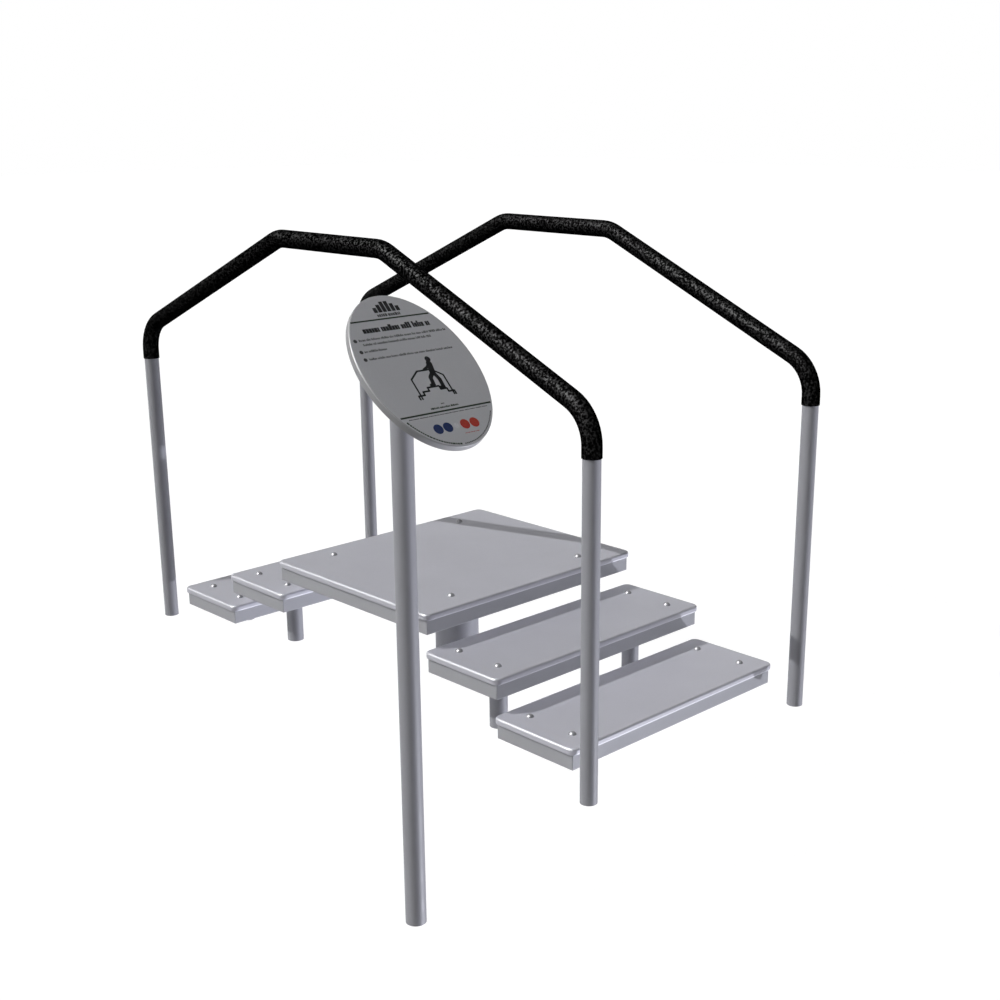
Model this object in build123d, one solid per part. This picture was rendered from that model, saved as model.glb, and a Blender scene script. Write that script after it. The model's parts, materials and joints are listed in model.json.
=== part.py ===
from build123d import *
import math
import os

# An outdoor step trainer: five treads that climb to a platform and go down again,
# a handrail on each side, and an oval instruction sign on its own post.
# X runs across the treads, from the left handrail to the right one.
# Y is the walking direction, from the near end, which the sign faces, to the far end.
# Z is up, and the ground is at zero under the middle of the platform.

# Treads
LOW_STEP_TOP = 104.4
RISE = 101.6
FRAME_LENGTH = 768.2
STEP_FRAME_DEPTH = 259.0
PLATFORM_FRAME_DEPTH = 640.0
TREAD_GAP = 1.35

# Boards, which overhang their frames all round
BOARD_THICKNESS = 18.3
BOARD_OVERHANG = 8.6
BOARD_CORNER_RADIUS = 20.0
BOARD_TOP_RADIUS = 6.0
BOARD_BOTTOM_RADIUS = 4.5

# Rectangular tube of the frames
TUBE_HEIGHT = 40.15
TUBE_WIDTH = 25.4
TUBE_WALL = 3.0
TUBE_EDGE_RADIUS = 2.5
FRAME_CORNER_RADIUS = 1.5

# Carriage bolts and flange nuts that hold the boards down
BOLT_DIAMETER = 9.525
BOLT_HEAD_DIAMETER = 20.0
BOLT_HEAD_HEIGHT = 8.0
BOLT_NECK_LENGTH = 6.0
BOLT_END_BEYOND_NUT = 3.0
BOLT_CLEARANCE = 0.4
NUT_ACROSS_FLATS = 14.3
NUT_HEIGHT = 9.0
NUT_FLANGE_DIAMETER = 20.0
NUT_FLANGE_THICKNESS = 1.8
NUT_THREAD_CLEARANCE = 0.05
STEP_BOLT_INSET_X = 57.7
STEP_BOLT_INSET_Y = 56.5
PLATFORM_BOLT_INSET_X = 140.4
PLATFORM_BOLT_INSET_Y = 64.0

# Posts and saddle plates under the four steps
STEP_POST_DIAMETER = 48.3
STEP_POST_WALL = 3.7
STEP_POST_INSET = 127.1
SADDLE_THICKNESS = 6.35
SADDLE_MARGIN = 16.0

# Pedestal under the platform
PEDESTAL_DIAMETER = 127.0
PEDESTAL_WALL = 4.8
HEAD_PLATE_SIDE = 228.6
HEAD_PLATE_THICKNESS = 9.5
BEAM_SPACING = 152.4

# Handrails
RAIL_SPACING = 812.8
RAIL_SPAN = 1828.8
RAIL_CORNER_HEIGHT = 917.0
RAIL_TOP_HEIGHT = 1222.5
RAIL_TOP_LENGTH = 429.0
RAIL_BEND_RADIUS = 105.0
RAIL_DIAMETER = 42.2
RAIL_WALL = 3.6

# Grip sleeves, drawn over the bent part of each handrail
GRIP_WALL = 2.3
GRIP_CLEARANCE = 0.05
GRIP_LEG_LENGTH = 25.0
GRIP_END_RADIUS = 1.0
GRIP_LIP_DEPTH = 0.3
GRIP_LIP_LENGTH = 4.0

# Sign
SIGN_POST_X = -1019.5
SIGN_POST_Y = -1020.5
SIGN_POST_DIAMETER = 42.2
SIGN_POST_WALL = 3.6
SIGN_POST_HEIGHT = 1120.0
SPIGOT_DEPTH = 60.0
SPIGOT_WALL = 3.2
SPIGOT_CLEARANCE = 0.05
SIGN_FACE_HEIGHT = 1116.0
SIGN_REACH = 60.5
SIGN_TILT_DEGREES = 45.0
SIGN_WIDTH = 255.0
SIGN_HEIGHT = 331.5
SIGN_THICKNESS = 15.0
SIGN_EDGE_RADIUS = 2.5
BRACKET_WIDTH = 88.9
BRACKET_HEIGHT = 127.0
BRACKET_THICKNESS = 6.35
BRACKET_CORNER_RADIUS = 9.5
SCREW_DIAMETER = 6.35
SCREW_HEAD_ACROSS_FLATS = 11.1
SCREW_HEAD_HEIGHT = 4.2
SCREW_BITE = 9.0
SCREW_INSET = 14.0
SCREW_CLEARANCE = 0.2

# One overrun serves every cut that has to pass right through
OVERRUN = 2.0


def save(name, solids):
    """Write one node, a single solid or a group of separate ones."""
    shape = solids[0] if len(solids) == 1 else Compound(children=solids)
    export_step(shape, os.path.join("parts", name + ".step"))


def solid_of(shape):
    """The single solid that a build step leaves."""
    return shape.solids()[0]


def pipe(diameter, wall, height):
    """A round pipe that stands on its own origin."""
    ring = Circle(diameter / 2) - Circle(diameter / 2 - wall)
    return extrude(ring, height)


def box_tube(length):
    """A rectangular tube along X, centred in length and width, standing on its origin."""
    outer = RectangleRounded(TUBE_WIDTH, TUBE_HEIGHT, TUBE_EDGE_RADIUS)
    inner = Rectangle(TUBE_WIDTH - 2 * TUBE_WALL, TUBE_HEIGHT - 2 * TUBE_WALL)
    bar = extrude(Plane.YZ * (outer - inner), length / 2, both=True)
    return Pos(0, 0, TUBE_HEIGHT / 2) * bar


def mitred_member(length, depth):
    """The near side of a frame of this outer length and depth, cut to meet its neighbours."""
    bar = Pos(0, (TUBE_WIDTH - depth) / 2, 0) * box_tube(length)
    half = length / 2
    outline = Polygon(
        (-half, -depth / 2),
        (half, -depth / 2),
        (half - TUBE_WIDTH, TUBE_WIDTH - depth / 2),
        (TUBE_WIDTH - half, TUBE_WIDTH - depth / 2),
        align=None,
    )
    rounded = RectangleRounded(length, depth, FRAME_CORNER_RADIUS)
    return solid_of(bar & extrude(outline, TUBE_HEIGHT) & extrude(rounded, TUBE_HEIGHT))


def frame_members(depth):
    """The four tubes of a frame, on the plane of the frame's underside."""
    near = mitred_member(FRAME_LENGTH, depth)
    left = Rot(0, 0, -90) * mitred_member(depth, FRAME_LENGTH)
    half_turn = Rot(0, 0, 180)
    return {"near": near, "far": half_turn * near, "left": left, "right": half_turn * left}


def drill(solid, places, diameter, height):
    """Round holes through a solid that stands on the plane of its own underside."""
    for x, y in places:
        hole = Cylinder(diameter / 2, height + 2 * OVERRUN, align=(Align.CENTER, Align.CENTER, Align.MIN))
        solid = solid - Pos(x, y, -OVERRUN) * hole
    return solid


def board(depth, places):
    """A tread board with rounded edges, square holes for the bolt necks and round ones below."""
    length = FRAME_LENGTH + 2 * BOARD_OVERHANG
    width = depth + 2 * BOARD_OVERHANG
    slab = extrude(RectangleRounded(length, width, BOARD_CORNER_RADIUS), BOARD_THICKNESS)
    slab = fillet(slab.faces().sort_by(Axis.Z)[-1].edges(), BOARD_TOP_RADIUS)
    slab = fillet(slab.faces().sort_by(Axis.Z)[0].edges(), BOARD_BOTTOM_RADIUS)
    slab = drill(slab, places, BOLT_DIAMETER + 2 * BOLT_CLEARANCE, BOARD_THICKNESS)
    neck_side = BOLT_DIAMETER + 2 * BOLT_CLEARANCE
    neck_depth = BOLT_NECK_LENGTH + BOLT_CLEARANCE
    for x, y in places:
        neck = Box(neck_side, neck_side, neck_depth, align=(Align.CENTER, Align.CENTER, Align.MAX))
        slab = slab - Pos(x, y, BOARD_THICKNESS) * neck
    return solid_of(slab)


def carriage_bolt(grip):
    """A domed bolt whose head rests on its origin and whose shank holds this much thickness."""
    radius = BOLT_HEAD_DIAMETER / 2
    ball = (radius**2 + BOLT_HEAD_HEIGHT**2) / (2 * BOLT_HEAD_HEIGHT)
    cap = Cylinder(radius, BOLT_HEAD_HEIGHT, align=(Align.CENTER, Align.CENTER, Align.MIN))
    dome = Pos(0, 0, BOLT_HEAD_HEIGHT - ball) * Sphere(ball) & cap
    down = (Align.CENTER, Align.CENTER, Align.MAX)
    neck = Box(BOLT_DIAMETER, BOLT_DIAMETER, BOLT_NECK_LENGTH, align=down)
    shank = Cylinder(BOLT_DIAMETER / 2, grip + NUT_HEIGHT + BOLT_END_BEYOND_NUT, align=down)
    return solid_of(dome + neck + shank)


def flange_nut():
    """A flange nut that hangs from its origin."""
    flange = extrude(Circle(NUT_FLANGE_DIAMETER / 2), -NUT_FLANGE_THICKNESS)
    hexagon = RegularPolygon(NUT_ACROSS_FLATS / 2, 6, major_radius=False)
    body = flange + extrude(hexagon, -NUT_HEIGHT)
    bore = Circle(BOLT_DIAMETER / 2 + NUT_THREAD_CLEARANCE)
    return solid_of(body - extrude(bore, -NUT_HEIGHT))


def make_tread(name, centre_y, top, depth, inset_x, inset_y, held_thickness):
    """The board, frame, bolts and nuts of one tread. Returns where its bolts stand."""
    bolt_x = FRAME_LENGTH / 2 - inset_x
    bolt_y = depth / 2 - inset_y
    places = [(x, y) for x in (-bolt_x, bolt_x) for y in (-bolt_y, bolt_y)]
    under_board = top - BOARD_THICKNESS
    save(name + "_board", [Pos(0, centre_y, under_board) * board(depth, places)])
    seat = Pos(0, centre_y, under_board - TUBE_HEIGHT)
    for side, member in frame_members(depth).items():
        save(name + "_frame_" + side, [seat * member])
    bolt = carriage_bolt(BOARD_THICKNESS + held_thickness)
    nut = flange_nut()
    save(name + "_bolts", [Pos(x, centre_y + y, top) * bolt for x, y in places])
    save(name + "_nuts", [Pos(x, centre_y + y, under_board - held_thickness) * nut for x, y in places])
    return places


def make_step(name, centre_y, top):
    """One step: a tread on two posts, each under a saddle plate welded inside the frame."""
    places = make_tread(
        name, centre_y, top, STEP_FRAME_DEPTH, STEP_BOLT_INSET_X, STEP_BOLT_INSET_Y, SADDLE_THICKNESS
    )
    post_x = FRAME_LENGTH / 2 - STEP_POST_INSET
    outer_x = FRAME_LENGTH / 2 - TUBE_WIDTH
    inner_x = post_x - STEP_POST_DIAMETER / 2 - SADDLE_MARGIN
    under_saddle = top - BOARD_THICKNESS - SADDLE_THICKNESS
    plate = extrude(Rectangle(outer_x - inner_x, STEP_FRAME_DEPTH - 2 * TUBE_WIDTH), SADDLE_THICKNESS)
    plate_x = (outer_x + inner_x) / 2
    saddles = []
    for side, sign in (("left", -1), ("right", 1)):
        own_holes = [(x - sign * plate_x, y) for x, y in places if x * sign > 0]
        drilled = drill(plate, own_holes, BOLT_DIAMETER + 2 * BOLT_CLEARANCE, SADDLE_THICKNESS)
        saddles.append(Pos(sign * plate_x, centre_y, under_saddle) * solid_of(drilled))
        post = pipe(STEP_POST_DIAMETER, STEP_POST_WALL, under_saddle)
        save(name + "_" + side + "_post", [Pos(sign * post_x, centre_y, 0) * solid_of(post)])
    save(name + "_saddle_plates", saddles)


def make_platform():
    """The platform: a tread whose cross rails and beams stand on one wide pedestal."""
    top = LOW_STEP_TOP + 2 * RISE
    places = make_tread(
        "platform",
        0,
        top,
        PLATFORM_FRAME_DEPTH,
        PLATFORM_BOLT_INSET_X,
        PLATFORM_BOLT_INSET_Y,
        TUBE_HEIGHT,
    )
    frame_bottom = top - BOARD_THICKNESS - TUBE_HEIGHT
    rail_x = FRAME_LENGTH / 2 - PLATFORM_BOLT_INSET_X
    rail = Rot(0, 0, 90) * box_tube(PLATFORM_FRAME_DEPTH - 2 * TUBE_WIDTH)
    cross_rails = []
    for sign in (-1, 1):
        own_holes = [(x - sign * rail_x, y) for x, y in places if x * sign > 0]
        drilled = drill(rail, own_holes, BOLT_DIAMETER + 2 * BOLT_CLEARANCE, TUBE_HEIGHT)
        cross_rails.append(Pos(sign * rail_x, 0, frame_bottom) * solid_of(drilled))
    save("platform_cross_rails", cross_rails)

    beam = solid_of(box_tube(2 * rail_x - TUBE_WIDTH))
    save("platform_beams", [Pos(0, sign * BEAM_SPACING / 2, frame_bottom) * beam for sign in (-1, 1)])

    plate_bottom = frame_bottom - HEAD_PLATE_THICKNESS
    head_plate = extrude(Rectangle(HEAD_PLATE_SIDE, HEAD_PLATE_SIDE), HEAD_PLATE_THICKNESS)
    save("pedestal_head_plate", [Pos(0, 0, plate_bottom) * solid_of(head_plate)])
    save("pedestal_tube", [solid_of(pipe(PEDESTAL_DIAMETER, PEDESTAL_WALL, plate_bottom))])


def rail_points(x, start_height):
    """Corners of a handrail's centreline, up from this height, over the top and down again."""
    leg = RAIL_SPAN / 2
    top = RAIL_TOP_LENGTH / 2
    rising = [(x, -leg, start_height), (x, -leg, RAIL_CORNER_HEIGHT), (x, -top, RAIL_TOP_HEIGHT)]
    falling = [(px, -py, pz) for px, py, pz in reversed(rising)]
    return rising + falling


def bent_tube(x, start_height, outer_radius, inner_radius):
    """A round tube that follows a handrail's centreline."""
    path = FilletPolyline(*rail_points(x, start_height), radius=RAIL_BEND_RADIUS)
    foot = Plane(origin=path @ 0, z_dir=path % 0)
    return solid_of(sweep(foot * (Circle(outer_radius) - Circle(inner_radius)), path))


def leg_rings(x, bottom, outer_radius, inner_radius, height):
    """A ring around each leg of a handrail, to cut a groove or to add a lip."""
    ring = extrude(Circle(outer_radius) - Circle(inner_radius), height)
    return [Pos(x, sign * RAIL_SPAN / 2, bottom) * ring for sign in (-1, 1)]


def make_handrail(side, x):
    """One bent pipe and the grip sleeve drawn over it, whose end lips key into shallow grooves."""
    radius = RAIL_DIAMETER / 2
    run = (RAIL_SPAN - RAIL_TOP_LENGTH) / 2
    slope = math.atan2(RAIL_TOP_HEIGHT - RAIL_CORNER_HEIGHT, run)
    tangent = RAIL_BEND_RADIUS * math.tan((math.pi / 2 - slope) / 2)
    start = RAIL_CORNER_HEIGHT - tangent - GRIP_LEG_LENGTH
    groove_radius = radius - GRIP_LIP_DEPTH
    groove_length = GRIP_LIP_LENGTH + 2 * GRIP_CLEARANCE

    handrail = bent_tube(x, 0, radius, radius - RAIL_WALL)
    for groove in leg_rings(x, start - GRIP_CLEARANCE, radius + OVERRUN, groove_radius, groove_length):
        handrail = handrail - groove
    save(side + "_handrail", [solid_of(handrail)])

    outer_radius = radius + GRIP_CLEARANCE + GRIP_WALL
    sleeve = bent_tube(x, start, outer_radius, radius + GRIP_CLEARANCE)
    end_rims = sleeve.faces().sort_by(Axis.Z)[:2].edges().sort_by(SortBy.RADIUS)[-2:]
    sleeve = fillet(end_rims, GRIP_END_RADIUS)
    lip_outer = radius + GRIP_CLEARANCE + GRIP_WALL / 2
    for lip in leg_rings(x, start, lip_outer, groove_radius + GRIP_CLEARANCE, GRIP_LIP_LENGTH):
        sleeve = sleeve + lip
    save(side + "_grip_sleeve", [solid_of(sleeve)])


def make_sign():
    """The tilted oval panel, the bracket behind it, its screws and its post."""
    tilt = math.radians(SIGN_TILT_DEGREES)
    face_y = SIGN_POST_Y - SIGN_REACH
    normal = (0, -math.cos(tilt), math.sin(tilt))
    face = Plane(origin=(SIGN_POST_X, face_y, SIGN_FACE_HEIGHT), x_dir=(1, 0, 0), z_dir=normal)
    stack = SIGN_THICKNESS + BRACKET_THICKNESS
    bracket_up = (SIGN_REACH - math.cos(tilt) * stack) / math.sin(tilt)

    screw_x = BRACKET_WIDTH / 2 - SCREW_INSET
    screw_y = BRACKET_HEIGHT / 2 - SCREW_INSET
    places = [(x, bracket_up + y) for x in (-screw_x, screw_x) for y in (-screw_y, screw_y)]
    hole = Circle(SCREW_DIAMETER / 2 + SCREW_CLEARANCE)
    blind = extrude(hole, SCREW_BITE + SCREW_CLEARANCE)

    panel = extrude(Ellipse(SIGN_WIDTH / 2, SIGN_HEIGHT / 2), -SIGN_THICKNESS)
    panel = fillet(panel.edges(), SIGN_EDGE_RADIUS)
    for x, y in places:
        panel = panel - Pos(x, y, -SIGN_THICKNESS) * blind
    save("sign_panel", [face * solid_of(panel)])

    outline = RectangleRounded(BRACKET_WIDTH, BRACKET_HEIGHT, BRACKET_CORNER_RADIUS)
    bracket = Pos(0, bracket_up, -stack) * extrude(outline, BRACKET_THICKNESS)
    through = extrude(hole, BRACKET_THICKNESS + 2 * OVERRUN)
    for x, y in places:
        bracket = bracket - Pos(x, y, -stack - OVERRUN) * through
    axis_height = SIGN_FACE_HEIGHT + bracket_up * math.cos(tilt) - stack * math.sin(tilt)
    spigot_diameter = SIGN_POST_DIAMETER - 2 * (SIGN_POST_WALL + SPIGOT_CLEARANCE)
    spigot_bottom = SIGN_POST_HEIGHT - SPIGOT_DEPTH
    spigot = pipe(spigot_diameter, SPIGOT_WALL, axis_height + SIGN_POST_DIAMETER - spigot_bottom)
    cutter_side = 4 * SIGN_POST_DIAMETER
    cutter = Box(cutter_side, cutter_side, cutter_side, align=(Align.CENTER, Align.CENTER, Align.MIN))
    spigot = Pos(SIGN_POST_X, SIGN_POST_Y, spigot_bottom) * spigot
    spigot = spigot - face * Pos(0, bracket_up, -stack) * cutter
    save("sign_bracket", [solid_of(face * bracket + spigot)])

    shank = extrude(Circle(SCREW_DIAMETER / 2), BRACKET_THICKNESS + SCREW_BITE)
    head = extrude(RegularPolygon(SCREW_HEAD_ACROSS_FLATS / 2, 6, major_radius=False), -SCREW_HEAD_HEIGHT)
    screw = solid_of(shank + head)
    save("sign_screws", [face * Pos(x, y, -stack) * screw for x, y in places])

    post = pipe(SIGN_POST_DIAMETER, SIGN_POST_WALL, SIGN_POST_HEIGHT)
    save("sign_post", [Pos(SIGN_POST_X, SIGN_POST_Y, 0) * solid_of(post)])


def make_part():
    os.makedirs("parts", exist_ok=True)
    pitch = STEP_FRAME_DEPTH + TREAD_GAP
    mid_y = PLATFORM_FRAME_DEPTH / 2 + TREAD_GAP + STEP_FRAME_DEPTH / 2
    make_platform()
    for end, sign in (("near", -1), ("far", 1)):
        make_step(end + "_mid_step", sign * mid_y, LOW_STEP_TOP + RISE)
        make_step(end + "_low_step", sign * (mid_y + pitch), LOW_STEP_TOP)
    for side, sign in (("left", -1), ("right", 1)):
        make_handrail(side, sign * RAIL_SPACING / 2)
    make_sign()


make_part()
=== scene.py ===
import json
import math
import random

import bpy
from mathutils import Matrix, Vector


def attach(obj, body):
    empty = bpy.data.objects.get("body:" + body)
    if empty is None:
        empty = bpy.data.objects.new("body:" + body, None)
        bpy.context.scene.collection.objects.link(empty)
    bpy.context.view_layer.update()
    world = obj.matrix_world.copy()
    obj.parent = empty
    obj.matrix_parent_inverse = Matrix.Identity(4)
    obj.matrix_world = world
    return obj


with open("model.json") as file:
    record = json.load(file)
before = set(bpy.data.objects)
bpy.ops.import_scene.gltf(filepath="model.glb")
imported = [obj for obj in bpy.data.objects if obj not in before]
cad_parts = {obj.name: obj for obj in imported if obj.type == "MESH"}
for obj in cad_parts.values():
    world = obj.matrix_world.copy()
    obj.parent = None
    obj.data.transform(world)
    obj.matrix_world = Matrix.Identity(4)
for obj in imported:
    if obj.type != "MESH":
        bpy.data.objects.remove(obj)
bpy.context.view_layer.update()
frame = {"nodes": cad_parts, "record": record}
nodes = frame["nodes"]
slot_of = {part["node"]: part["material_slot"] for part in frame["record"]["subparts"]}


# Camera, at the photograph's viewing angle; places in metres, angles in degrees
CAMERA_AT = Vector((-2.61737, -2.97862, 1.55533))
CAMERA_YAW = math.radians(45.336)
CAMERA_PITCH = math.radians(16.778)
CAMERA_ROLL = math.radians(-0.117)
FOCAL_SHARE = 1.43486
AXIS_IN_IMAGE = (0.53591, 0.53754)
IMAGE_MIDDLE = 0.5
SENSOR_WIDTH = 36.0
CLIP_NEAR, CLIP_FAR = 0.05, 100.0


def make_camera():
    forward = Vector((
        math.cos(CAMERA_PITCH) * math.cos(CAMERA_YAW),
        math.cos(CAMERA_PITCH) * math.sin(CAMERA_YAW),
        -math.sin(CAMERA_PITCH),
    ))
    level = Vector((math.sin(CAMERA_YAW), -math.cos(CAMERA_YAW), 0))
    upright = level.cross(forward)
    right = level * math.cos(CAMERA_ROLL) + upright * math.sin(CAMERA_ROLL)
    up = upright * math.cos(CAMERA_ROLL) - level * math.sin(CAMERA_ROLL)
    data = bpy.data.cameras.new("Camera")
    data.sensor_width = SENSOR_WIDTH
    data.lens = FOCAL_SHARE * SENSOR_WIDTH
    data.shift_x = IMAGE_MIDDLE - AXIS_IN_IMAGE[0]
    data.shift_y = AXIS_IN_IMAGE[1] - IMAGE_MIDDLE
    data.clip_start = CLIP_NEAR
    data.clip_end = CLIP_FAR
    camera = bpy.data.objects.new("Camera", data)
    bpy.context.scene.collection.objects.link(camera)
    turn = Matrix((right, up, -forward)).transposed()
    camera.matrix_world = Matrix.Translation(CAMERA_AT) @ turn.to_4x4()
    bpy.context.scene.camera = camera


# Shader nodes
def add_node(tree, kind, **values):
    """A shader node with some of its inputs set; an underscore stands for a space in a name."""
    node = tree.nodes.new("ShaderNode" + kind)
    for name, value in values.items():
        node.inputs[name.replace("_", " ")].default_value = value
    return node


def noise(tree, scale, detail=2.0, roughness=0.5):
    place = add_node(tree, "TexCoord")
    texture = add_node(tree, "TexNoise", Scale=scale, Detail=detail, Roughness=roughness)
    tree.links.new(place.outputs["Object"], texture.inputs["Vector"])
    return texture.outputs["Fac"]


def ramp(tree, value, *stops):
    """A colour ramp with two stops, each a position and a colour."""
    node = add_node(tree, "ValToRGB")
    for element, (position, colour) in zip(node.color_ramp.elements, stops):
        element.position = position
        element.color = (*colour, 1)
    tree.links.new(value, node.inputs[0])
    return node.outputs[0]


def map_range(tree, value, source, target):
    """Maps one range of values onto another."""
    node = add_node(
        tree, "MapRange",
        From_Min=source[0], From_Max=source[1], To_Min=target[0], To_Max=target[1],
    )
    tree.links.new(value, node.inputs["Value"])
    return node.outputs[0]


def bump(tree, shader, height, strength, distance):
    node = add_node(tree, "Bump", Strength=strength, Distance=distance)
    tree.links.new(height, node.inputs["Height"])
    tree.links.new(node.outputs[0], shader.inputs["Normal"])


def seen_directly(tree):
    """1 for a ray that shows the background itself: from the camera, a mirror or glass."""
    path = add_node(tree, "LightPath")
    seen = path.outputs["Is Camera Ray"]
    for ray in ("Is Glossy Ray", "Is Transmission Ray"):
        either = add_node(tree, "Math")
        either.operation = "MAXIMUM"
        tree.links.new(seen, either.inputs[0])
        tree.links.new(path.outputs[ray], either.inputs[1])
        seen = either.outputs[0]
    return seen


def mix_shaders(tree, mix, first, second):
    """Links two shaders into a mix node whose share is set or linked apart."""
    tree.links.new(first.outputs[0], mix.inputs[1])
    tree.links.new(second.outputs[0], mix.inputs[2])


# Background and floor
WHITE = (1, 1, 1, 1)
WORLD_TINT = (0.96, 0.97, 1.0, 1)
WORLD_STRENGTH = 0.03
FLOOR_HALF = 30.0
FLOOR_DROP = 0.0003
FLOOR_GLOW = 1.1
FLOOR_LIT_SHARE = 0.12
FLOOR_BOUNCE = (0.35, 0.35, 0.36, 1)


def make_world():
    """A faint even light, which looks white wherever it is seen itself."""
    world = bpy.data.worlds.new("Studio")
    bpy.context.scene.world = world
    world.use_nodes = True
    tree = world.node_tree
    tree.nodes.clear()
    out = add_node(tree, "OutputWorld")
    mix = add_node(tree, "MixShader")
    light = add_node(tree, "Background", Color=WORLD_TINT, Strength=WORLD_STRENGTH)
    white = add_node(tree, "Background", Color=WHITE, Strength=1.0)
    tree.links.new(seen_directly(tree), mix.inputs[0])
    mix_shaders(tree, mix, light, white)
    tree.links.new(mix.outputs[0], out.inputs[0])


def make_floor():
    """A white floor that keeps a faint shadow, and sends little light back to the object."""
    mesh = bpy.data.meshes.new("Floor")
    corners = [(-1, -1), (1, -1), (1, 1), (-1, 1)]
    mesh.from_pydata(
        [(x * FLOOR_HALF, y * FLOOR_HALF, -FLOOR_DROP) for x, y in corners], [], [(0, 1, 2, 3)],
    )
    floor = bpy.data.objects.new("Floor", mesh)
    bpy.context.scene.collection.objects.link(floor)
    floor.visible_shadow = False
    material = bpy.data.materials.new("Floor")
    material.use_nodes = True
    tree = material.node_tree
    tree.nodes.clear()
    out = add_node(tree, "OutputMaterial")
    seen = add_node(tree, "MixShader")
    pale = add_node(tree, "MixShader", Fac=FLOOR_LIT_SHARE)
    white = add_node(tree, "Emission", Color=WHITE, Strength=FLOOR_GLOW)
    lit = add_node(tree, "BsdfDiffuse", Color=WHITE)
    ground = add_node(tree, "BsdfDiffuse", Color=FLOOR_BOUNCE)
    mix_shaders(tree, pale, white, lit)
    tree.links.new(seen_directly(tree), seen.inputs[0])
    mix_shaders(tree, seen, ground, pale)
    tree.links.new(seen.outputs[0], out.inputs[0])
    mesh.materials.append(material)


# Lamps: a key from the far left above and a counter light from the near right below. Each has a
# wash that casts no shadow and a lamp that only shows in gloss. Angles in degrees.
KEY_TRAVEL = (0.86, -0.42, -1.0)
KEY_COLOUR = (1.0, 1.0, 0.98)
KEY_GLOSS_COLOUR = (1.0, 1.0, 1.0)
KEY_ANGLE = 0.1
COUNTER_TRAVEL = (-0.87, 0.78, 1.0)
COUNTER_COLOUR = (0.9, 0.91, 1.0)
COUNTER_GLOSS_COLOUR = (0.86, 0.88, 1.0)
COUNTER_ANGLE = 1.0
WASH_ANGLE = 5.0


def sun(name, travel, colour, angle, strength, gloss_only=False, casts=True):
    data = bpy.data.lights.new(name, "SUN")
    data.use_shadow = casts
    data.energy = strength
    data.color = colour
    data.angle = math.radians(angle)
    lamp = bpy.data.objects.new(name, data)
    lamp.rotation_mode = "QUATERNION"
    lamp.rotation_quaternion = Vector(travel).to_track_quat("-Z", "Y")
    lamp.visible_diffuse = not gloss_only
    bpy.context.scene.collection.objects.link(lamp)


def make_lamps():
    sun("Key", KEY_TRAVEL, KEY_COLOUR, KEY_ANGLE, strength=1.65)
    sun("KeyWash", KEY_TRAVEL, KEY_COLOUR, WASH_ANGLE, strength=1.16, casts=False)
    sun("KeyGloss", KEY_TRAVEL, KEY_GLOSS_COLOUR, KEY_ANGLE, strength=20.0, gloss_only=True)
    sun("Counter", COUNTER_TRAVEL, COUNTER_COLOUR, COUNTER_ANGLE, strength=1.7)
    sun("CounterWash", COUNTER_TRAVEL, COUNTER_COLOUR, WASH_ANGLE, strength=1.3, casts=False)
    sun("CounterGloss", COUNTER_TRAVEL, COUNTER_GLOSS_COLOUR, COUNTER_ANGLE, strength=1.8,
        gloss_only=True)


# Materials. Noise scales are per metre, bump distances in metres.
NOISE_RANGE = (0.3, 0.7)
CLOUD_SCALE = 5.0
CLOUD_CONTRAST = 0.03
SPECK_RANGE = (0.35, 0.65)
SPECK_DARK = (0.95, 0.95, 0.95)
SPECK_LIGHT = (1, 1, 1)
SHEEN_SCALE = 40.0
SHEEN_SPREAD = 0.04
PEEL_DISTANCE = 0.0002
FINE_DISTANCE = 0.0001
EDGE_TO_FACE = (0.95, 0.995)
BOARD_EDGE_SPECULAR = 0.735
BOARD_FACE_SPECULAR = 0.12


def start_material(name, roughness, metallic=0.0, specular=0.5):
    material = bpy.data.materials.new(name)
    material.use_nodes = True
    shader = material.node_tree.nodes["Principled BSDF"]
    shader.inputs["Roughness"].default_value = roughness
    shader.inputs["Metallic"].default_value = metallic
    shader.inputs["Specular IOR Level"].default_value = specular
    return material, material.node_tree, shader


def shade(colour, factor):
    return tuple(channel * factor for channel in colour)


def cloudy(tree, colour, scale, contrast):
    """The colour, a little darker and lighter in patches."""
    low, high = NOISE_RANGE
    return ramp(
        tree, noise(tree, scale, detail=3.0),
        (low, shade(colour, 1 - contrast)), (high, shade(colour, 1 + contrast)),
    )


def coated(name, colour, roughness, grain, peel, specular):
    """A satin coat: cloudy tone, fine grain, and the slight orange peel of a sprayed film."""
    material, tree, shader = start_material(name, roughness, specular=specular)
    tone = cloudy(tree, colour, CLOUD_SCALE, CLOUD_CONTRAST)
    low, high = SPECK_RANGE
    speck = ramp(tree, noise(tree, grain, detail=1.0), (low, SPECK_DARK), (high, SPECK_LIGHT))
    mix = add_node(tree, "Mix")
    mix.data_type = "RGBA"
    mix.blend_type = "MULTIPLY"
    mix.inputs["Factor"].default_value = 1.0
    tree.links.new(tone, mix.inputs["A"])
    tree.links.new(speck, mix.inputs["B"])
    tree.links.new(mix.outputs["Result"], shader.inputs["Base Color"])
    sheen = map_range(
        tree, noise(tree, SHEEN_SCALE, detail=4.0),
        NOISE_RANGE, (roughness - SHEEN_SPREAD, roughness + SHEEN_SPREAD),
    )
    tree.links.new(sheen, shader.inputs["Roughness"])
    bump(tree, shader, noise(tree, grain), peel, PEEL_DISTANCE)
    return material


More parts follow.
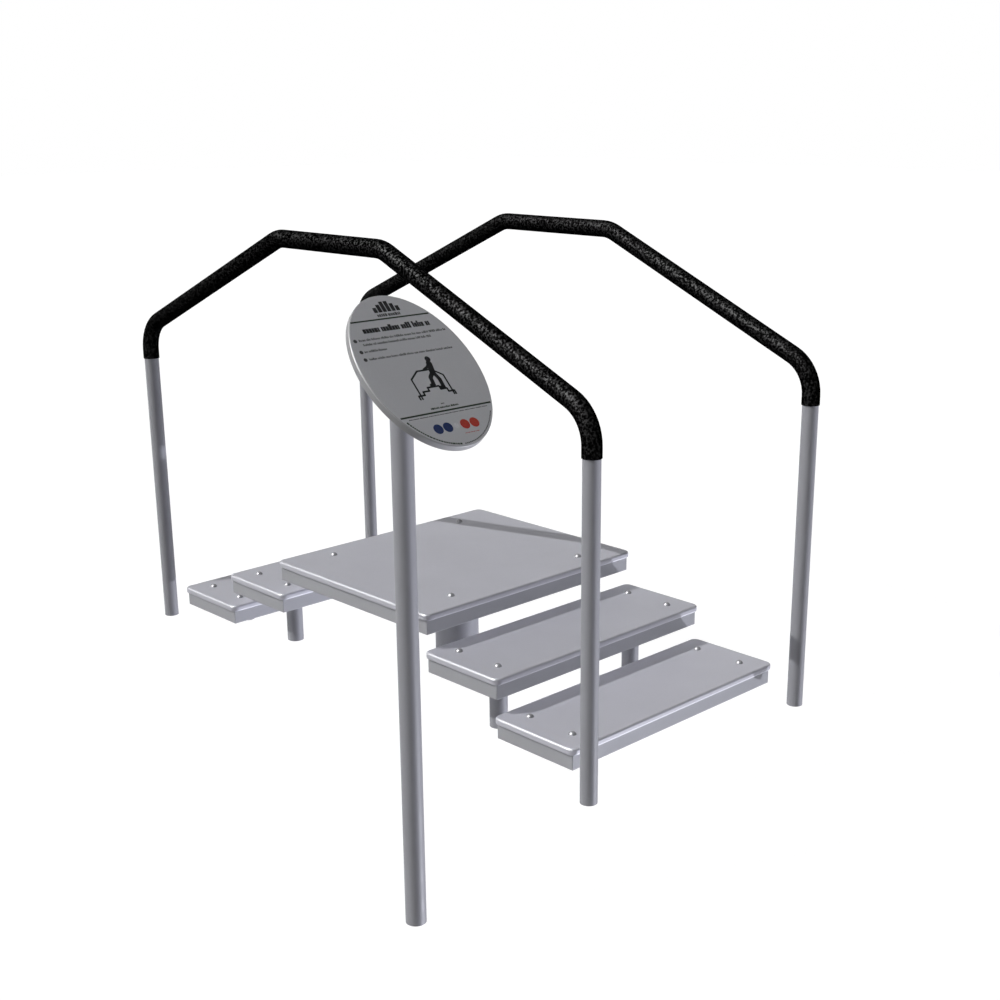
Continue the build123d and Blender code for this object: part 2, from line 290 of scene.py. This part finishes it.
def board(name, colour):
    """A grey plastic sheet, with less gloss on its level faces than on its routed edges.

    The link at the end takes the place of the coat's own specular level.
    """
    material = coated(name, colour, roughness=0.44, grain=700.0, peel=0.12, specular=0.35)
    tree = material.node_tree
    place = add_node(tree, "TexCoord")
    normal = add_node(tree, "SeparateXYZ")
    tree.links.new(place.outputs["Normal"], normal.inputs[0])
    gloss = map_range(
        tree, normal.outputs["Z"], EDGE_TO_FACE, (BOARD_EDGE_SPECULAR, BOARD_FACE_SPECULAR),
    )
    tree.links.new(gloss, tree.nodes["Principled BSDF"].inputs["Specular IOR Level"])
    return material


def make_grip():
    """Black moulded grip whose crinkled crests shine in the light while its hollows stay black."""
    material, tree, shader = start_material("Grip", roughness=0.58, metallic=1.0)
    shader.inputs["Specular Tint"].default_value = (0.0, 0.0, 0.0, 1)
    crinkle = noise(tree, scale=170.0, detail=3.0, roughness=0.65)
    hollow, crest = (0.0003, 0.0003, 0.0003), (0.011, 0.011, 0.011)
    colour = ramp(tree, crinkle, (0.49, hollow), (0.62, crest))
    tree.links.new(colour, shader.inputs["Base Color"])
    bump(tree, shader, crinkle, strength=0.5, distance=0.002)
    return material


def make_zinc():
    """Dull zinc plate: faint crystal patches under a fine grain."""
    material, tree, shader = start_material("Zinc", roughness=0.42, metallic=0.1, specular=0.6)
    patches = add_node(tree, "TexVoronoi", Scale=400.0)
    place = add_node(tree, "TexCoord")
    tree.links.new(place.outputs["Object"], patches.inputs["Vector"])
    dark, light = (0.19, 0.19, 0.21), (0.26, 0.26, 0.28)
    colour = ramp(tree, patches.outputs["Distance"], (0.0, dark), (1.0, light))
    tree.links.new(colour, shader.inputs["Base Color"])
    sheen = map_range(tree, noise(tree, scale=900.0), NOISE_RANGE, (0.38, 0.46))
    tree.links.new(sheen, shader.inputs["Roughness"])
    bump(tree, shader, noise(tree, scale=1500.0), strength=0.15, distance=FINE_DISTANCE)
    return material


def printed(name, colour):
    """Screen-printed ink with slightly uneven cover."""
    material, tree, shader = start_material(name, roughness=0.5, specular=0.08)
    tone = cloudy(tree, colour, scale=500.0, contrast=0.15)
    tree.links.new(tone, shader.inputs["Base Color"])
    bump(tree, shader, noise(tree, scale=1200.0), strength=0.1, distance=FINE_DISTANCE)
    return material


materials = {
    "tread_board": board("TreadBoard", (0.5, 0.501, 0.563)),
    "frame_coat": coated(
        "FrameCoat", (0.39, 0.393, 0.422), roughness=0.54, grain=1100.0, peel=0.2, specular=0.3,
    ),
    "post_coat": coated(
        "PostCoat", (0.317, 0.319, 0.352), roughness=0.54, grain=1100.0, peel=0.2, specular=0.4,
    ),
    # The sign panel's grey is darker than the sheet on its face: painted shade on the sign's rim
    # and sides.
    "sign_face": coated(
        "SignPanelPaintedShade", (0.325, 0.325, 0.34), roughness=0.44, grain=900.0, peel=0.1, specular=0.4,
    ),
    "grip": make_grip(),
    "zinc": make_zinc(),
}
# The near low step's board is a lighter copy of the tread board: painted light, for the extra
# light that step shows.
painted_light_material = {"near_low_step_board": board("LowTreadBoardPaintedLight", (0.545, 0.545, 0.612))}


def dress_nodes():
    for name, node in nodes.items():
        for slot in node.material_slots:
            slot.material = painted_light_material.get(name, materials[slot_of[name]])


# Print on the sign face, laid out in millimetres across and up from the face's middle
SIGN_MIDDLE = Vector((-1.0195, -1.081, 1.116))
SIGN_TILT = math.radians(45)
SIGN_ACROSS = Vector((1, 0, 0))
SIGN_OUT = Vector((0, -math.cos(SIGN_TILT), math.sin(SIGN_TILT)))
SIGN_UP = SIGN_OUT.cross(SIGN_ACROSS)
SIGN_HALF_WIDTH = 127.5
SIGN_HALF_HEIGHT = 165.75
SIGN_ROUNDING = 2.5
SHEET_INSET = 1.7
SHEET_SUNK = -0.05
SHEET_PROUD = 0.15
INK_PROUD = 0.27
MM_PER_M = 1000
PRINT_SEED = 7

# Corners of the round outlines, cut corners of the bars, and the least share of a block's width
SHEET_CORNERS = 96
DISC_CORNERS = 28
JOINT_CORNERS = 16
BAR_CORNER = 0.4
RULE_CORNER = 0.1
RULE_MARGIN = 0.6
SHORTEST_SHARE = 0.7

# Layout. A text line has its height and two ends; a rule its height, thickness and how much
# shorter it is at its right end.
MARK_X, MARK_Y, MARK_PITCH, MARK_WIDTH = -28, 128.5, 10, 8.2
MARK_HEIGHTS = (11, 17, 23, 23, 17, 11)
TEXT_DROP = 0.8
TEXT_LINES = ((74.0, -94, 102), (64.2, -90, 64), (50.2, -96, -46), (34.0, -95, 92))
BULLETS = ((-102.0, 75.6), (-102.5, 51.8), (-103.0, 35.6))
BULLET_RADIUS = 3.8
RULES = ((112.6, 3.2, 4.0), (-91.6, 3.4, 0.6))
DOT_Y, DOT_RADIUS = -123, 10.0
PALE_DOT_RADIUS = 6.0


def on_sign(across, up, out):
    return SIGN_MIDDLE + (SIGN_ACROSS * across + SIGN_UP * up + SIGN_OUT * out) / MM_PER_M


def print_piece(name, shapes, material, proud=INK_PROUD):
    """One printed colour as a thin raised film, from outlines that run anticlockwise."""
    vertices, faces = [], []
    for outline in shapes:
        first, count = len(vertices), len(outline)
        vertices += [on_sign(x, y, SHEET_SUNK) for x, y in outline]
        vertices += [on_sign(x, y, proud) for x, y in outline]
        faces.append([first + count + i for i in range(count)])
        faces.append([first + i for i in reversed(range(count))])
        for i in range(count):
            j = (i + 1) % count
            faces.append([first + i, first + j, first + count + j, first + count + i])
    mesh = bpy.data.meshes.new(name)
    mesh.from_pydata(vertices, [], faces)
    mesh.materials.append(material)
    piece = bpy.data.objects.new(name, mesh)
    bpy.context.scene.collection.objects.link(piece)
    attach(piece, "root")


def half_axes(inset):
    """Half the width and height of the sign's own oval, drawn in by this much."""
    return SIGN_HALF_WIDTH - inset, SIGN_HALF_HEIGHT - inset


def ellipse(x, y, a, b, count):
    turns = [2 * math.pi * i / count for i in range(count)]
    return [(x + a * math.cos(t), y + b * math.sin(t)) for t in turns]


def disc(x, y, radius, count=DISC_CORNERS):
    return ellipse(x, y, radius, radius, count)


def bar(x0, y0, x1, y1, corner=BAR_CORNER):
    """A rectangle with small cut corners, each at most a third of a side."""
    c = min(corner, (x1 - x0) / 3, (y1 - y0) / 3)
    return [
        (x0 + c, y0), (x1 - c, y0), (x1, y0 + c), (x1, y1 - c),
        (x1 - c, y1), (x0 + c, y1), (x0, y1 - c), (x0, y0 + c),
    ]


def stroke(points, width):
    """A line of even width with round ends and joints."""
    shapes = [disc(x, y, width / 2, JOINT_CORNERS) for x, y in points]
    for (x0, y0), (x1, y1) in zip(points, points[1:]):
        length = math.hypot(x1 - x0, y1 - y0)
        nx, ny = (y1 - y0) / length * width / 2, -(x1 - x0) / length * width / 2
        shapes.append([
            (x0 + nx, y0 + ny), (x1 + nx, y1 + ny), (x1 - nx, y1 - ny), (x0 - nx, y0 - ny),
        ])
    return shapes


def blocks(chance, x0, x1, y, heights, widths, gap, word_gap, per_word=(3, 8)):
    """A row of plain blocks in groups, which stands for a line of print without any lettering."""
    shapes, x, left = [], x0, chance.randint(*per_word)
    while x < x1:
        width = min(chance.uniform(*widths), x1 - x)
        if width < widths[0] * SHORTEST_SHARE:
            break
        shapes.append(bar(x, y, x + width, y + chance.choice(heights)))
        left -= 1
        x += width + (gap if left else word_gap)
        if not left:
            left = chance.randint(*per_word)
    return shapes


def rim_blocks(chance, start, end, inset, height, widths, gap):
    """Small blocks that follow the sign's lower rim between two angles in degrees."""
    shapes, angle = [], start
    a, b = half_axes(inset)
    while angle < end:
        turn = math.radians(angle)
        speed = math.hypot(a * math.sin(turn), b * math.cos(turn))
        width = chance.uniform(*widths)
        half = math.degrees(width / speed) / 2
        corners = []
        for way, out in ((-1, 0), (1, 0), (1, 1), (-1, 1)):
            t = math.radians(angle + half + way * half)
            corners.append(((a - out * height) * math.cos(t), (b - out * height) * math.sin(t)))
        shapes.append(corners[::-1])
        angle += 2 * half + math.degrees(gap / speed)
    return shapes


def flat_chord(y):
    """Half the width of the sign's flat face at this height."""
    a, b = half_axes(SIGN_ROUNDING)
    return a * math.sqrt(1 - (y / b) ** 2)


def print_heading(chance, black):
    """The mark, a row of bars that rises and falls, and the heading under it."""
    shapes = []
    for place, height in enumerate(MARK_HEIGHTS):
        x = MARK_X + place * MARK_PITCH
        shapes.append(bar(x, MARK_Y, x + MARK_WIDTH, MARK_Y + height))
    shapes += blocks(
        chance, -75, 75, y=88.5, heights=(9.4, 9.4, 13.2), widths=(3.6, 6.8),
        gap=0.55, word_gap=4.4, per_word=(4, 8),
    )
    print_piece("sign_print_bold", shapes, black)


def print_text(chance, grey):
    """The line under the mark, three points of text, and a short line under the figure."""
    shapes = blocks(
        chance, -26, 25, y=119.0, heights=(5.6, 6.4), widths=(2.4, 4.8), gap=1.0, word_gap=2.4,
    )
    for y, x0, x1 in TEXT_LINES:
        shapes += blocks(
            chance, x0, x1, y - TEXT_DROP, heights=(3.6, 3.6, 5.0), widths=(1.2, 2.6),
            gap=0.9, word_gap=2.4,
        )
    shapes += [disc(x, y, BULLET_RADIUS) for x, y in BULLETS]
    shapes += blocks(
        chance, -4, 5, y=-76, heights=(2.4,), widths=(1.4, 2.6), gap=0.8, word_gap=2.0,
    )
    print_piece("sign_print_text", shapes, grey)


def print_rules(chance, rule):
    """The two rules across the face, and the line of print over the lower one."""
    shapes = []
    for y, height, short in RULES:
        half = flat_chord(y) - RULE_MARGIN
        shapes.append(bar(-half, y, half - short, y + height, RULE_CORNER))
    shapes += blocks(
        chance, -31, 31, y=-84.0, heights=(3.2, 3.8), widths=(1.8, 4.2), gap=0.8, word_gap=2.0,
    )
    print_piece("sign_print_rules", shapes, rule)


def print_small(chance, grey, rule):
    """The small line under the lower rule, and the print along the rim."""
    shapes = blocks(
        chance, -88, 90, y=-96.8, heights=(1.8,), widths=(1.2, 3.4), gap=0.7, word_gap=1.8,
    )
    shapes += rim_blocks(
        chance, start=268.5, end=318.0, inset=4.6, height=2.2, widths=(1.2, 3.2), gap=1.2,
    )
    print_piece("sign_print_small", shapes, grey)
    shapes = rim_blocks(
        chance, start=218.5, end=265.5, inset=4.4, height=3.4, widths=(2.2, 5.4), gap=1.3,
    )
    print_piece("sign_print_rim", shapes, rule)


def print_figure(black):
    """A figure that walks over steps between handrails."""
    steps = [
        (-40, -60), (-40, -53), (-26, -53), (-26, -46), (-12, -46), (-12, -39),
        (14, -39), (14, -46), (28, -46), (28, -53), (41, -53), (41, -60),
    ]
    rail = [(-35, -60), (-35, -18), (-14, -3), (17, -3), (37, -18), (37, -60)]
    head, head_radius = (24, 18.5), 6.0
    trunk = [(21.5, 9), (18, -9)]
    arm = [(21, 9.5), (12, 2), (3, -2)]
    front_leg = [(17, -10), (7, -20), (5, -35), (0, -36)]
    back_leg = [(19, -10), (24, -26), (23, -42.5), (18, -43.5)]
    shapes = stroke(steps, width=3.6) + stroke(rail, width=3.4)
    shapes.append(disc(*head, head_radius))
    shapes += stroke(trunk, width=12.5)
    shapes += stroke(arm, width=5.2)
    shapes += stroke(front_leg, width=8.4)
    shapes += stroke(back_leg, width=8.4)
    print_piece("sign_print_figure", shapes, black)


def print_dots(chance, blue, pale, red):
    """Two blue dots, a pale one, and two red ones over a small red line."""
    blues = [disc(x, DOT_Y, DOT_RADIUS) for x in (-40, -18.5)]
    print_piece("sign_print_blue", blues, blue)
    print_piece("sign_print_pale", [disc(1, DOT_Y, PALE_DOT_RADIUS)], pale)
    reds = [disc(x, DOT_Y, DOT_RADIUS) for x in (20.5, 42)]
    reds += blocks(
        chance, 10, 42, y=-141.6, heights=(1.6,), widths=(1.2, 2.8), gap=0.8, word_gap=1.6,
    )
    print_piece("sign_print_red", reds, red)


def print_sign():
    chance = random.Random(PRINT_SEED)
    # The sheet's grey is lighter than the panel's: painted light on the face, which the lamps
    # light less than the sign's rim and sides.
    sheet = coated(
        "SignSheetPaintedLight", (0.595, 0.6, 0.64), roughness=0.55, grain=900.0, peel=0.1, specular=0.2,
    )
    black = printed("InkBlack", (0.006, 0.006, 0.008))
    grey = printed("InkGrey", (0.06, 0.06, 0.065))
    rule = printed("InkRule", (0.03, 0.04, 0.03))
    blue = printed("InkBlue", (0.02, 0.035, 0.12))
    red = printed("InkRed", (0.5, 0.06, 0.045))
    pale = printed("InkPale", (0.66, 0.66, 0.7))

    outline = ellipse(0, 0, *half_axes(SHEET_INSET), SHEET_CORNERS)
    print_piece("sign_sheet", [outline], sheet, proud=SHEET_PROUD)
    print_heading(chance, black)
    print_text(chance, grey)
    print_rules(chance, rule)
    print_small(chance, grey, rule)
    print_figure(black)
    print_dots(chance, blue, pale, red)


make_camera()
make_world()
make_floor()
make_lamps()
dress_nodes()
print_sign()

bpy.context.scene.view_settings.view_transform = "Standard"
